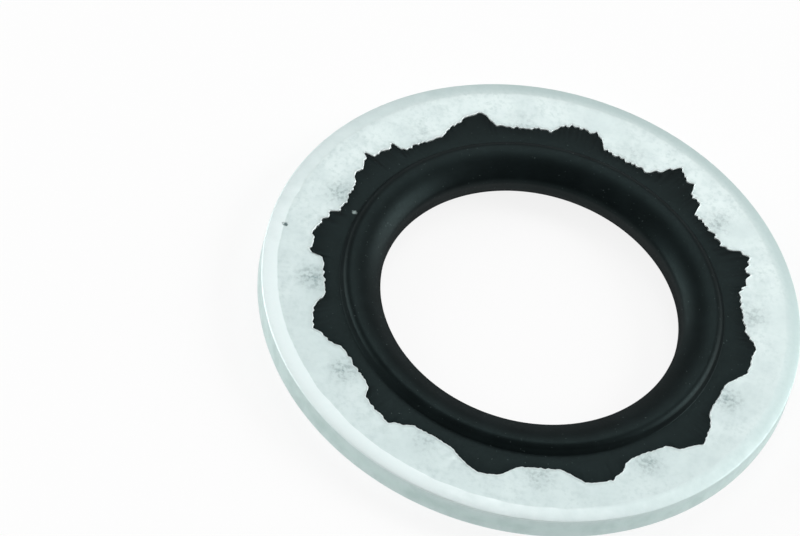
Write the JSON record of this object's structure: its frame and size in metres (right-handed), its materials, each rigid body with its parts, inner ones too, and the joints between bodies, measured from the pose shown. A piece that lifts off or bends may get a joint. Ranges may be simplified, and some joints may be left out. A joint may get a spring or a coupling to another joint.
{
  "type": "bonded sealing washer",
  "caption": "Flat aluminium ring with a thick black rubber seal moulded round its bore; lobed rubber edge on both faces.",
  "frame": {"origin": "on the bore's axis, in the plane that the washer lies on: the lower crest of the bead", "axes": "+Z along the bore, up from the surface that the washer lies on; +X and +Y across the washer, +X through the lobe that the source lists first"},
  "size_m": [0.0286, 0.0286, 0.0025],
  "materials": {
    "metal": "tumbled, matt and pale",
    "rubber": "moulded, satin black"
  },
  "bodies": {
    "root": {"metal_ring": "metal", "rubber_seal": "rubber"}
  },
  "joints": []
}
